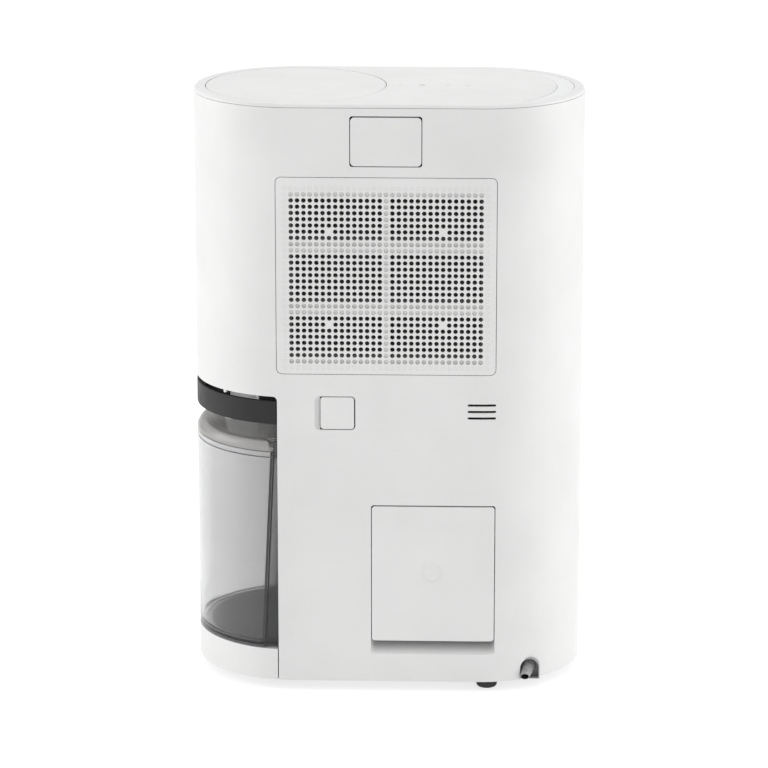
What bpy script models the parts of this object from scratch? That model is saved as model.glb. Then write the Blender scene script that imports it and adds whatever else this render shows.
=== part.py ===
"""A compact compressor dehumidifier with a slide-out water tank in one end.

The plan is a stadium: two straight sides and two round ends. +X points to the tank end, +Y to the back
with its air grille, and +Z up. The origin is the centre of the floor area under the four feet.
Sizes below are in millimetres; MM turns them into the metres that the objects are built in.
"""

import math

import bmesh
import bpy
from mathutils import Matrix, Vector

MM = 0.001

# Housing
HALF = 88.0              # half of the straight side; the end circles are centred at +HALF and -HALF
END_R = 96.5             # outer radius of the round ends, and half of the body's depth
WALL = 2.5
CLEAR = 0.3              # gap between pieces that touch
INNER_R = END_R - WALL - CLEAR   # what fits inside the wall
BASE_Z = 10.0            # lower edge of the housing, the height of the feet
SEAM_Z = 566.5           # joint between housing and top cover
TOP_Z = 570.0
ARC_STEPS = 10           # facets in a quarter of an end circle

# Tank bay at the +X end
BAY_X = 102.5            # edge of the side panels at the bay
BAY_TOP = 290.5          # lower edge of the housing over the bay
LINER_X = 46.0           # wall between the bay and the machine
LINER_STEP_X = 72.0      # the bay's roof is low up to here
LINER_LOW_Z = 252.5
LINER_HIGH_Z = 297.0

# Tank
TANK_BOTTOM = 41.0
TANK_TOP = 236.0
LID_RIM = 241.0          # top of the lid's outer rim
LID_TOP = 247.5
LID_SHOULDER = 4.5       # how far the lid's raised middle stands in from its rim
TANK_WALL = 2.5
TANK_HALF_WIDTH = 88.0   # of the part behind the side panels
TANK_STEP_X = 107.0      # outside this the tank follows the housing's outline
TANK_INNER_X = 51.0
SKIRT_X = 103.3
DOME = (124.0, 158.0, -21.0, 21.0)     # left, right, front, back of the clear dome on the lid
DOME_TOP = 275.0
FLOAT_AXIS = (63.0, 231.0)             # x, z

# Carrying handle
HANDLE_LOW = 263.5
HANDLE_HIGH = 286.0
HANDLE_THICK = 4.0
HANDLE_AXIS = (95.0, 251.0)            # x, z

# Panels of the back: left, right, low, high
PANEL_GAP = 1.0
GRILLE = (-102.5, 102.5, 313.4, 501.2)
UPPER_DOOR = (-32.6, 33.2, 512.1, 557.9)
DRAIN_RECESS = (29.0, 66.8, 258.9, 292.0)
DRAIN_COVER = (30.0, 61.5, 259.9, 291.0)
CORD_RECESS = (-103.5, 14.5, 37.8, 185.4)
CORD_DOOR = (-102.5, 13.5, 50.9, 184.4)
PANEL_CORNER = 4.0
TRAY_WALL = 2.0          # of the trays behind the panels
SENSOR_X = (-103.1, -76.5)             # slots in front of the humidity sensor
SENSOR_Z = (271.4, 277.7, 284.0)
SENSOR_SLOT = 1.7
FEET = ((-96, 77), (-96, -77), (96, 55), (96, -55))

# Perforated field of the grille, simplified to slots
SLOT_COLUMNS = ((-88.0, -3.5), (3.5, 88.0))
SLOT_GROUPS = ((331.5, 373.0), (384.5, 432.0), (443.5, 485.0))   # low and high of each row of windows
SLOTS_PER_GROUP = 4
SLOT_HEIGHT = 6.0

# Top
OUTLET_R = 85.0          # lid over the air outlet, centred on the tank end's circle
DUCT_R = 81.5
LENS_OUTER_R = 86.0
LENS_INNER_R = 107.0
LENS_INNER_X = -51.0
TOUCH_X = (-74, -55, -31, -10)

# Machine
FAN_AXIS = (0.0, 405.0)  # x, z
FAN_R = 74.0
SCROLL_Y = (-62.0, 12.0)
SCROLL_START_R = 82.0
SCROLL_GROWTH = 22.0
SPOUT = (60.0, 30.0)     # x, y of the water outlet into the tank
COMPRESSOR = (-95.0, -25.0)
COMPRESSOR_R = 52.0
ACCUMULATOR = (-20.0, -35.0)
GLAND = (-137.0, 19.5)   # x, z of the supply cord's gland
ARCH = (21.5, 9.0)       # height of the centre and radius of the notch round the gland
FAN_BLADES = 18
PIN_BORE = 2.8           # radius of the holes for the handle's pins
FLOAT_BORE = 1.9

TURNS = {
    "z": Matrix.Identity(3),
    "y": Matrix.Rotation(math.pi / 2, 3, "X"),
    "x": Matrix(((0, 0, 1), (1, 0, 0), (0, 1, 0))),
}

for old in list(bpy.data.objects):
    bpy.data.objects.remove(old, do_unlink=True)
parts = bpy.data.collections.new("dehumidifier")
cutters = bpy.data.collections.new("dehumidifier_cutters")
bpy.context.scene.collection.children.link(parts)
bpy.context.scene.collection.children.link(cutters)


# ---- outlines -------------------------------------------------------------------------------------------

def arc(centre, radius, start, end, steps):
    """Points on a circle between two angles in degrees, both ends included."""
    angles = [math.radians(start + (end - start) * i / steps) for i in range(steps + 1)]
    return [(centre[0] + radius * math.cos(a), centre[1] + radius * math.sin(a)) for a in angles]


def circle(centre, radius, steps=32):
    return arc(centre, radius, 0, 360, steps)[:-1]


def rounded_rect(left, right, low, high, radius, steps=4):
    corners = ((right, high, 0), (left, high, 90), (left, low, 180), (right, low, 270))
    points = []
    for x, y, start in corners:
        centre = (x - math.copysign(radius, x - (left + right) / 2),
                  y - math.copysign(radius, y - (low + high) / 2))
        points += arc(centre, radius, start, start + 90, steps)
    return points


def rect(left, right, low, high):
    return [(left, low), (right, low), (right, high), (left, high)]


def grown(panel, by):
    left, right, low, high = panel
    return (left - by, right + by, low - by, high + by)


def stadium(radius):
    right = arc((HALF, 0), radius, -90, 90, 2 * ARC_STEPS)
    return right + arc((-HALF, 0), radius, 90, 270, 2 * ARC_STEPS)


def half_stadium(radius, side):
    """The outline's rear (side 1) or front (side -1) half, from the +X end to the -X end."""
    path = arc((HALF, 0), radius, 0, 90, ARC_STEPS) + arc((-HALF, 0), radius, 90, 180, ARC_STEPS)
    return [(x, side * max(y, CLEAR / 2)) for x, y in path]


def end_arc(radius, from_x):
    """The tank end's arc from its back corner at from_x round to the front one."""
    angle = math.degrees(math.acos((from_x - HALF) / radius))
    return arc((HALF, 0), radius, angle, -angle, 2 * ARC_STEPS)


def tank_outline(inset):
    """The tank's plan: the end arc, then a step in to the narrower part behind the side panels."""
    step = TANK_STEP_X + inset
    side = TANK_HALF_WIDTH - inset
    inner = TANK_INNER_X + inset
    corner = 10.0 - inset
    back = arc((inner + corner, side - corner), corner, 180, 90, 4)
    front = arc((inner + corner, corner - side), corner, 270, 180, 4)
    return end_arc(END_R - inset, step) + [(step, -side)] + front + back + [(step, side)]


# ---- solids ---------------------------------------------------------------------------------------------

def new_object(name, mesh, location=(0, 0, 0), axis="z"):
    piece = bpy.data.objects.new(name, mesh)
    piece.location = Vector(location) * MM
    piece.rotation_euler = TURNS[axis].to_euler()
    parts.objects.link(piece)
    return piece


def along(axis, place):
    """A point that lies at place on the axis."""
    return tuple(place if name == axis else 0 for name in "xyz")


def mesh_of(guide):
    """A curve object as a closed mesh object in the same place; the curve goes."""
    bpy.context.view_layer.update()
    evaluated = guide.evaluated_get(bpy.context.evaluated_depsgraph_get())
    mesh = bpy.data.meshes.new_from_object(evaluated)
    work = bmesh.new()
    work.from_mesh(mesh)
    bmesh.ops.remove_doubles(work, verts=work.verts, dist=1e-6)
    bmesh.ops.recalc_face_normals(work, faces=work.faces)
    work.to_mesh(mesh)
    work.free()
    name = guide.name
    matrix = guide.matrix_world.copy()
    bpy.data.objects.remove(guide)
    piece = bpy.data.objects.new(name, mesh)
    piece.matrix_world = matrix
    parts.objects.link(piece)
    return piece


def prism(name, loops, low, high, axis="z"):
    """A flat outline with its holes, drawn out from low to high along an axis.

    Outlines are (x, y) for axis z, (x, z) for axis y and (y, z) for axis x.
    """
    curve = bpy.data.curves.new(name, "CURVE")
    curve.dimensions = "2D"
    curve.fill_mode = "BOTH"
    curve.extrude = (high - low) / 2 * MM
    for loop in loops:
        spline = curve.splines.new("POLY")
        spline.points.add(len(loop) - 1)
        for point, (u, v) in zip(spline.points, loop):
            point.co = (u * MM, v * MM, 0, 1)
        spline.use_cyclic_u = True
    return mesh_of(new_object(name, curve, along(axis, (low + high) / 2), axis))


def box(name, x, y, z):
    """A block between two values on each axis."""
    size = [high - low for low, high in (x, y, z)]
    work = bmesh.new()
    bmesh.ops.create_cube(work, size=1, matrix=Matrix.Diagonal((*(s * MM for s in size), 1)))
    mesh = bpy.data.meshes.new(name)
    work.to_mesh(mesh)
    work.free()
    return new_object(name, mesh, [(low + high) / 2 for low, high in (x, y, z)])


def cylinder(name, centre, radius, low, high, axis="z", steps=24):
    """A round bar between two heights on an axis; centre is its place on the other two axes, in order."""
    work = bmesh.new()
    bmesh.ops.create_cone(work, cap_ends=True, segments=steps, radius1=radius * MM, radius2=radius * MM,
                          depth=(high - low) * MM)
    mesh = bpy.data.meshes.new(name)
    work.to_mesh(mesh)
    work.free()
    middle = list(centre)
    middle.insert("xyz".index(axis), (low + high) / 2)
    piece = new_object(name, mesh, middle, axis)
    smooth(piece)
    return piece


def turned(name, profile, place, axis="z", steps=32):
    """A round piece from its (radius, height) profile, top to bottom; axis y points its top to -Y."""
    mesh = bpy.data.meshes.new(name)
    work = bmesh.new()
    verts = [work.verts.new((r * MM, 0, h * MM)) for r, h in profile]
    for first, second in zip(verts, verts[1:]):
        work.edges.new((first, second))
    work.to_mesh(mesh)
    work.free()
    piece = new_object(name, mesh, place, axis)
    screw = piece.modifiers.new("turn", "SCREW")
    screw.steps = steps
    screw.render_steps = steps
    screw.use_merge_vertices = True
    screw.merge_threshold = 0.00001
    screw.use_smooth_shade = True
    return piece


def smooth(piece, angle=40):
    piece.data.shade_smooth()
    piece.data.set_sharp_from_angle(angle=math.radians(angle))


def through(points, per_span=3):
    """A smooth path through the points (Catmull-Rom), as a list of vectors."""
    knots = [Vector(p) for p in points]
    knots = [2 * knots[0] - knots[1]] + knots + [2 * knots[-1] - knots[-2]]
    path = []
    for a, b, c, d in zip(knots, knots[1:], knots[2:], knots[3:]):
        for i in range(per_span):
            t = i / per_span
            path.append(0.5 * (2 * b + (c - a) * t + (2 * a - 5 * b + 4 * c - d) * t ** 2
                               + (3 * b - a - 3 * c + d) * t ** 3))
    return path + [knots[-2]]


def tube(name, points, radius):
    """A round pipe along a smooth path through the points."""
    path = through(points)
    curve = bpy.data.curves.new(name, "CURVE")
    curve.dimensions = "3D"
    curve.bevel_depth = radius * MM
    curve.bevel_resolution = 2
    curve.use_fill_caps = True
    spline = curve.splines.new("POLY")
    spline.points.add(len(path) - 1)
    for point, place in zip(spline.points, path):
        point.co = (*(place * MM), 1)
    piece = mesh_of(new_object(name, curve))
    smooth(piece)
    return piece


def combine(piece, tool, operation):
    """Joins, cuts or limits a piece by a tool, which then counts as a hidden helper."""
    parts.objects.unlink(tool)
    cutters.objects.link(tool)
    tool.hide_render = True
    tool.display_type = "WIRE"
    modifier = piece.modifiers.new(tool.name, "BOOLEAN")
    modifier.operation = operation
    modifier.object = tool


def cut(piece, *tools):
    for tool in tools:
        combine(piece, tool, "DIFFERENCE")


def join(piece, *tools):
    for tool in tools:
        combine(piece, tool, "UNION")


def fit_inside(piece, radius, low, high):
    """Limits a piece to what fits inside the housing's wall."""
    combine(piece, prism(piece.name + "_room", [stadium(radius)], low, high), "INTERSECT")


# ---- materials ------------------------------------------------------------------------------------------

def finish(name, colour, roughness, metallic=0.0, alpha=1.0):
    material = bpy.data.materials.new(name)
    material.use_nodes = True
    shader = material.node_tree.nodes["Principled BSDF"]
    shader.inputs["Base Color"].default_value = (*colour, 1)
    shader.inputs["Roughness"].default_value = roughness
    shader.inputs["Metallic"].default_value = metallic
    shader.inputs["Alpha"].default_value = alpha
    return material


WHITE = finish("housing_white", (0.80, 0.80, 0.79), 0.42)
CHARCOAL = finish("handle_charcoal", (0.07, 0.07, 0.07), 0.5)
SMOKE = finish("tank_smoke", (0.30, 0.30, 0.31), 0.08, alpha=0.45)
GREY = finish("inner_grey", (0.28, 0.28, 0.28), 0.55)
BLACK = finish("inner_black", (0.03, 0.03, 0.03), 0.55)
RUBBER = finish("rubber_black", (0.03, 0.03, 0.03), 0.8)
BOOT = finish("boot_grey", (0.35, 0.35, 0.35), 0.6)
LENS = finish("lens_white", (0.75, 0.76, 0.77), 0.2)
FIN = finish("fin_aluminium", (0.75, 0.76, 0.78), 0.35, 1.0)
COPPER = finish("pipe_copper", (0.72, 0.38, 0.22), 0.3, 1.0)
ENAMEL = finish("compressor_enamel", (0.03, 0.03, 0.035), 0.4)
STEEL = finish("pin_steel", (0.6, 0.6, 0.6), 0.3, 1.0)
BOARD = finish("board_green", (0.03, 0.16, 0.08), 0.5)
MESH = finish("filter_mesh", (0.05, 0.05, 0.055), 0.8)
FOAM = finish("float_white", (0.85, 0.85, 0.84), 0.6)


def pivot(name, location):
    """An empty on a joint's axis, which carries the pieces that the joint moves."""
    empty = bpy.data.objects.new(name, None)
    empty.location = Vector(location) * MM
    parts.objects.link(empty)
    return empty


def place(piece, material, carrier=None):
    piece.data.materials.clear()
    piece.data.materials.append(material)
    if carrier:
        bpy.context.view_layer.update()
        piece.parent = carrier
        piece.matrix_parent_inverse = carrier.matrix_world.inverted()


# ---- housing --------------------------------------------------------------------------------------------

def wall_band(name, side, inner, low, high):
    """Half of the body's wall, from its outer face in to a radius."""
    outline = half_stadium(END_R, side) + half_stadium(inner, side)[::-1]
    return prism(name, [outline], low, high)


def bay_cutter(name):
    return prism(name, [rounded_rect(BAY_X, 220, -20, BAY_TOP, 4)], -110, 110, "y")


def window(name, panel, corner=PANEL_CORNER):
    return prism(name, [rounded_rect(*panel, corner)], 60, 110, "y")


def housing_halves():
    rear = wall_band("rear_housing", 1, END_R - WALL, BASE_Z, SEAM_Z)
    front = wall_band("front_housing", -1, END_R - WALL, BASE_Z, SEAM_Z)
    cut(rear, bay_cutter("rear_bay"))
    cut(front, bay_cutter("front_bay"))
    cut(rear, window("grille_window", grown(GRILLE, PANEL_GAP), 5),
        window("upper_window", grown(UPPER_DOOR, PANEL_GAP)),
        window("drain_window", DRAIN_RECESS),
        window("cord_window", CORD_RECESS))
    slots = [rect(*SENSOR_X, z - SENSOR_SLOT / 2, z + SENSOR_SLOT / 2) for z in SENSOR_Z]
    cut(rear, prism("sensor_slots", slots, 60, 110, "y"))
    arch_z, arch_r = ARCH
    arch = arc((GLAND[0], arch_z), arch_r, 0, 180, 8) + [(GLAND[0] - arch_r, 0), (GLAND[0] + arch_r, 0)]
    cut(rear, prism("cord_notch", [arch], 60, 110, "y"))
    place(rear, WHITE)
    place(front, WHITE)


def top_cover():
    outlet = circle((HALF, 0), OUTLET_R + PANEL_GAP, 40)
    outline = [stadium(END_R), outlet, lens_outline(CLEAR)]
    place(prism("top_cover", outline, SEAM_Z + CLEAR, TOP_Z), WHITE)


def lens_outline(grow):
    """A crescent: inside the outer circle at the -X end, and outside a larger, offset one."""
    outer = LENS_OUTER_R + grow
    inner = LENS_INNER_R - grow
    apart = LENS_INNER_X + HALF
    toward = (outer ** 2 - inner ** 2 + apart ** 2) / (2 * apart)
    half_height = math.sqrt(outer ** 2 - toward ** 2)
    outer_angle = math.degrees(math.atan2(half_height, toward))
    inner_angle = math.degrees(math.atan2(half_height, toward - apart))
    outer_side = arc((-HALF, 0), outer, outer_angle, 360 - outer_angle, 14)
    inner_side = arc((LENS_INNER_X, 0), inner, 360 - inner_angle, inner_angle, 14)
    return outer_side + inner_side[1:-1]


def status_lens():
    place(prism("status_lens", [lens_outline(0)], SEAM_Z + CLEAR, TOP_Z - 0.2), LENS)


def base_pan():
    pan = prism("base_pan", [stadium(INNER_R)], BASE_Z + 0.5, 14)
    for name, y in (("rear", 45), ("front", -45)):
        rail = box(name + "_rail", (54, 164), (y - 4, y + 4), (13, 37.6))
        join(rail, box(name + "_rail_step", (54, 100), (y - 4, y + 4), (13, TANK_BOTTOM - 0.4)))
        join(pan, rail)
    cut(pan, box("gland_room", (GLAND[0] - 10, GLAND[0] + 10), (56, 100), (0, 20)))
    place(pan, GREY)


def feet():
    for number, (x, y) in enumerate(FEET, 1):
        profile = [(0, BASE_Z + 0.2), (10, BASE_Z + 0.2), (9, 0), (0, 0)]
        place(turned(f"foot_{number}", profile, (x, y, 0), steps=20), RUBBER)


def bay_liner():
    """The bent wall and roof that close the machine off from the tank bay."""
    outer = [(LINER_X, 14.3), (LINER_X, LINER_LOW_Z), (LINER_STEP_X, LINER_LOW_Z),
             (LINER_STEP_X, LINER_HIGH_Z), (190, LINER_HIGH_Z)]
    inner = [(x + WALL if x < 190 else x, z - WALL if z > 20 else z) for x, z in outer]
    liner = prism("tank_bay_liner", [outer + inner[::-1]], -95, 95, "y")
    fit_inside(liner, INNER_R, 0, 320)
    cut(liner, cylinder("spout_hole", SPOUT, 8, 240, 260))
    place(liner, GREY)


def pocket(name, panel, depth):
    """A tray behind an opening of the back wall, open to +Y. panel is the opening."""
    left, right, low, high = grown(panel, 2.6)
    tray = box(name, (left, right), (END_R - depth - TRAY_WALL, END_R), (low, high))
    fit_inside(tray, INNER_R, 0, TOP_Z)
    inside = grown(panel, 0.6)
    cut(tray, box(name + "_hollow", inside[:2], (END_R - depth, 120), inside[2:]))
    return tray


# ---- panels and doors of the back -----------------------------------------------------------------------

def wall_panel(name, panel, corner=PANEL_CORNER, thick=WALL):
    """A panel that continues the wall's curve in a window of the back."""
    piece = wall_band(name, 1, END_R - thick, panel[2] - 5, panel[3] + 5)
    combine(piece, window(name + "_edge", panel, corner), "INTERSECT")
    return piece


def grille():
    hinge = pivot("grille_tilt_axis", (0, 95.2, GRILLE[2] + 1.3))
    panel = wall_panel("rear_grille", GRILLE, 5)
    slots = []
    for low, high in SLOT_GROUPS:
        for i in range(SLOTS_PER_GROUP):
            z = low + SLOT_HEIGHT / 2 + (high - low - SLOT_HEIGHT) * i / (SLOTS_PER_GROUP - 1)
            slots += [rect(left, right, z - SLOT_HEIGHT / 2, z + SLOT_HEIGHT / 2)
                      for left, right in SLOT_COLUMNS]
    cut(panel, prism("grille_slots", slots, 60, 110, "y"))
    place(panel, WHITE, hinge)

    windows = [rect(left, right, low, high) for low, high in SLOT_GROUPS for left, right in SLOT_COLUMNS]
    frame = prism("filter_frame", [rounded_rect(-96, 96, 320, 496, 4)] + windows, 85, 91, "y")
    place(frame, GREY, hinge)
    place(box("filter_mesh", (-94, 94), (83, 84.7), (322, 494)), MESH, hinge)


def doors():
    hinge = pivot("upper_door_axis", (0, 95.2, UPPER_DOOR[3] - 1.3))
    place(wall_panel("upper_door", UPPER_DOOR), WHITE, hinge)
    hinge = pivot("drain_cover_axis", (DRAIN_COVER[0] + 1.3, 95.2, 0))
    place(wall_panel("drain_cover", DRAIN_COVER, 3), WHITE, hinge)
    hinge = pivot("cord_door_axis", (0, 95.2, CORD_DOOR[3] - 1.3))
    place(wall_panel("cord_door", CORD_DOOR, 3), WHITE, hinge)


def pockets():
    place(pocket("upper_pocket", grown(UPPER_DOOR, PANEL_GAP), 16), GREY)
    place(pocket("cord_pocket", CORD_RECESS, 38), WHITE)
    recess = pocket("drain_recess", DRAIN_RECESS, 24)
    cut(recess, cylinder("drain_port_hole", (46, 276), 7.3, 60, 90, "y"))
    place(recess, WHITE)


def gland():
    """The boot that the supply cord leaves by; its outer ring is open."""
    profile = [(3.6, -29), (6.2, -29), (6.9, -21), (6.2, -20), (8, -8), (8, 0),
               (0, 0), (0, -9), (3.6, -9), (3.6, -29)]
    boot = turned("cord_gland", profile[::-1], (GLAND[0], 60, GLAND[1]), "y", 20)
    place(boot, BOOT)


# ---- air outlet and controls ----------------------------------------------------------------------------

def outlet():
    hinge = pivot("outlet_lid_axis", (HALF, OUTLET_R - 0.6, TOP_Z - 0.4))
    lid = prism("outlet_lid", [circle((HALF, 0), OUTLET_R, 40)], SEAM_Z + 0.6, TOP_Z)
    place(lid, WHITE, hinge)
    duct_loops = [circle((HALF, 0), DUCT_R + 2.5, 32), circle((HALF, 0), DUCT_R, 32)]
    place(prism("outlet_duct", duct_loops, 521, 563), GREY)
    slots = []
    for i in range(7):
        y = -60 + 20 * i
        reach = math.sqrt((DUCT_R - 6) ** 2 - (abs(y) + 7) ** 2)
        slots.append(rect(HALF - reach, HALF + reach, y - 7, y + 7))
    vanes = prism("outlet_vanes", [circle((HALF, 0), DUCT_R - 2 * CLEAR, 32)] + slots, 541, 547)
    place(vanes, CHARCOAL)
    place(cylinder("lid_motor", (62, 540), 11, -26, -4, "x"), BLACK)


def controls():
    touch = box("touch_board", (-82, -2), (-16, 16), (560, 561.6))
    join(touch, *[cylinder(f"touch_pad_{i}", (x, 0), 6, 561, 565, steps=12)
                  for i, x in enumerate(TOUCH_X)])
    place(touch, BOARD)

    control = box("control_board", (-168, -166.4), (-44, 44), (330, 440))
    join(control, box("transformer", (-167, -140), (-34, -2), (340, 370)),
         box("relay", (-167, -150), (8, 24), (345, 373)),
         box("terminals", (-167, -154), (-34, 34), (420, 432)))
    place(control, BOARD)
    place(box("humidity_sensor", (-102, -78), (83, 86), (268, 288)), BOARD)
    place(cylinder("run_capacitor", (-140, -40), 17, 215, 290), FIN)


# ---- refrigeration --------------------------------------------------------------------------------------

def heat_exchanger(name, y):
    """A finned block between two end plates, with its return bends at the ends."""
    block = box(name, (-88, 88), (y, y + 24), (318, 494))
    for side in (-1, 1):
        x = sorted((side * 87.5, side * 90))
        join(block, box(f"{name}_plate_{side}", x, (y - 1.5, y + 25.5), (316.5, 495.5)))
    for i in range(4):
        z = 345 + 40 * i
        bend = prism(f"{name}_bend_{i}", [rounded_rect(88, 98, z - 10, z + 10, 4.9)], y + 8, y + 16, "y")
        join(block, bend)
    return block


def machine():
    place(heat_exchanger("evaporator", 52), FIN)
    place(heat_exchanger("condenser", 23), FIN)

    tray = box("drip_tray", (-99.5, 99.5), (17, 81), (300, 313))
    cut(tray, box("tray_hollow", (-97.5, 97.5), (19, 79), (302, 330)),
        cylinder("tray_hole", SPOUT, 4.5, 290, 310))
    place(tray, GREY)
    spout = turned("drain_spout", [(4.5, 299.7), (10, 299.7), (10, 297), (6.5, 296), (6.5, 248.8),
                                   (4.5, 248.8), (4.5, 299.7)], (*SPOUT, 0), steps=24)
    place(spout, GREY)
    port = tube("drain_port", [(46, 46, 299.6), (46, 46, 290), (46, 50, 280), (46, 58, 276), (46, 70, 276),
                               (46, 88, 276)], 6.5)
    cut(port, cylinder("port_bore", (46, 276), 4.6, 62, 95, "y", 16))
    place(port, BOOT)

    x, y = COMPRESSOR
    radius = COMPRESSOR_R
    profile = [(0, 190), (24, 188), (42, 179), (radius, 162), (radius, 108), (radius + 1.5, 108),
               (radius + 1.5, 102), (radius, 102), (radius, 45), (42, 27), (62, 27), (62, 24), (0, 24)]
    place(turned("compressor", profile, (x, y, 0), steps=24), ENAMEL)
    for number in range(3):
        angle = math.radians(90 + 120 * number)
        spot = (x + 52 * math.cos(angle), y + 52 * math.sin(angle))
        place(cylinder(f"compressor_mount_{number + 1}", spot, 9, 14.3, 23.7, steps=12), RUBBER)
    place(turned("accumulator", [(0, 152), (10, 150), (16, 142), (16, 52), (10, 44), (0, 42)],
                 (*ACCUMULATOR, 0), steps=16), COPPER)

    pipes()


def pipes():
    """The refrigerant's way: compressor, condenser, capillary, evaporator, accumulator and back."""
    discharge = [(-95, -25, 190.6), (-95, -25, 215), (-108, -5, 255), (-112, 25, 300), (-112, 35, 330),
                 (-104, 35, 345), (-97, 35, 345), (-90.6, 35, 345)]
    suction = [(-90.6, 64, 330), (-97, 64, 330), (-104, 63, 328), (-110, 62, 315), (-108, 55, 260),
               (-80, 20, 225), (-35, -25, 205), (-20, -35, 185), (-20, -35, 152.6)]
    capillary = [(90.6, 35, 328), (96, 35, 328), (103, 42, 328), (103, 57, 328), (96, 64, 328),
                 (90.6, 64, 328)]
    accumulator = [(-20, -35, 41.4), (-21, -35, 34), (-28, -34, 31.5), (-36, -33, 35), (-42.6, -32, 38.6)]
    place(tube("discharge_pipe", discharge, 4), COPPER)
    place(tube("suction_pipe", suction, 5), COPPER)
    place(tube("capillary_tube", capillary, 1.6), COPPER)
    place(tube("accumulator_pipe", accumulator, 3), COPPER)


# ---- fan ------------------------------------------------------------------------------------------------

def scroll_outline():
    """The volute's wall, as its inner side and its outer side."""
    cx, cz = FAN_AXIS
    neck_right = cx + SCROLL_START_R + SCROLL_GROWTH

    def spiral(extra, start, steps=20):
        points = []
        for i in range(steps + 1):
            turn = start + (360 - start) * i / steps
            radius = SCROLL_START_R + SCROLL_GROWTH * (turn - 45) / 315 + extra
            points.append((cx + radius * math.cos(math.radians(turn)),
                           cz + radius * math.sin(math.radians(turn))))
        return points

    inner = [(60, 519)] + spiral(0, 45) + [(neck_right, 519)]
    outer = [(57.5, 519), (57.5, 482)] + spiral(2, 52) + [(neck_right + 2, 519)]
    return inner, outer


def fan():
    inner, outer = scroll_outline()
    low, high = SCROLL_Y
    scroll = prism("fan_scroll", [inner + outer[::-1]], low, high, "y")
    join(scroll, prism("scroll_back", [outer, circle(FAN_AXIS, 14, 20)], low, low + 2, "y"),
         prism("scroll_inlet", [outer, circle(FAN_AXIS, 60, 24)], high - 2, high, "y"))
    place(scroll, GREY)

    axle = pivot("fan_axis", (FAN_AXIS[0], 0, FAN_AXIS[1]))
    wheel = prism("fan_wheel", [circle(FAN_AXIS, FAN_R, 24), circle(FAN_AXIS, 4.3, 12)], -57, -54, "y")
    blades = []
    for i in range(FAN_BLADES):
        angle = 2 * math.pi * i / FAN_BLADES
        corners = [(66, -0.9), (73.2, 2.6), (73.2, 4.4), (66, 0.9)]
        blades.append([(FAN_AXIS[0] + r * math.cos(angle) - s * math.sin(angle),
                        FAN_AXIS[1] + r * math.sin(angle) + s * math.cos(angle)) for r, s in corners])
    join(wheel, prism("fan_hub", [circle(FAN_AXIS, 12, 16), circle(FAN_AXIS, 4.3, 12)], -55, -36, "y"),
         prism("fan_blades", blades, -55, 2, "y"),
         prism("fan_shroud", [circle(FAN_AXIS, FAN_R, 24), circle(FAN_AXIS, 65, 24)], 1, 4, "y"))
    place(wheel, BLACK, axle)

    motor = turned("fan_motor", [(0, 91), (28, 91), (33, 87), (33, 66), (30, 62.5), (12, 62.5), (12, 58),
                                 (4, 58), (4, 38), (0, 38)], (FAN_AXIS[0], 0, FAN_AXIS[1]), "y", 20)
    place(motor, BLACK)


# ---- tank -----------------------------------------------------------------------------------------------

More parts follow.
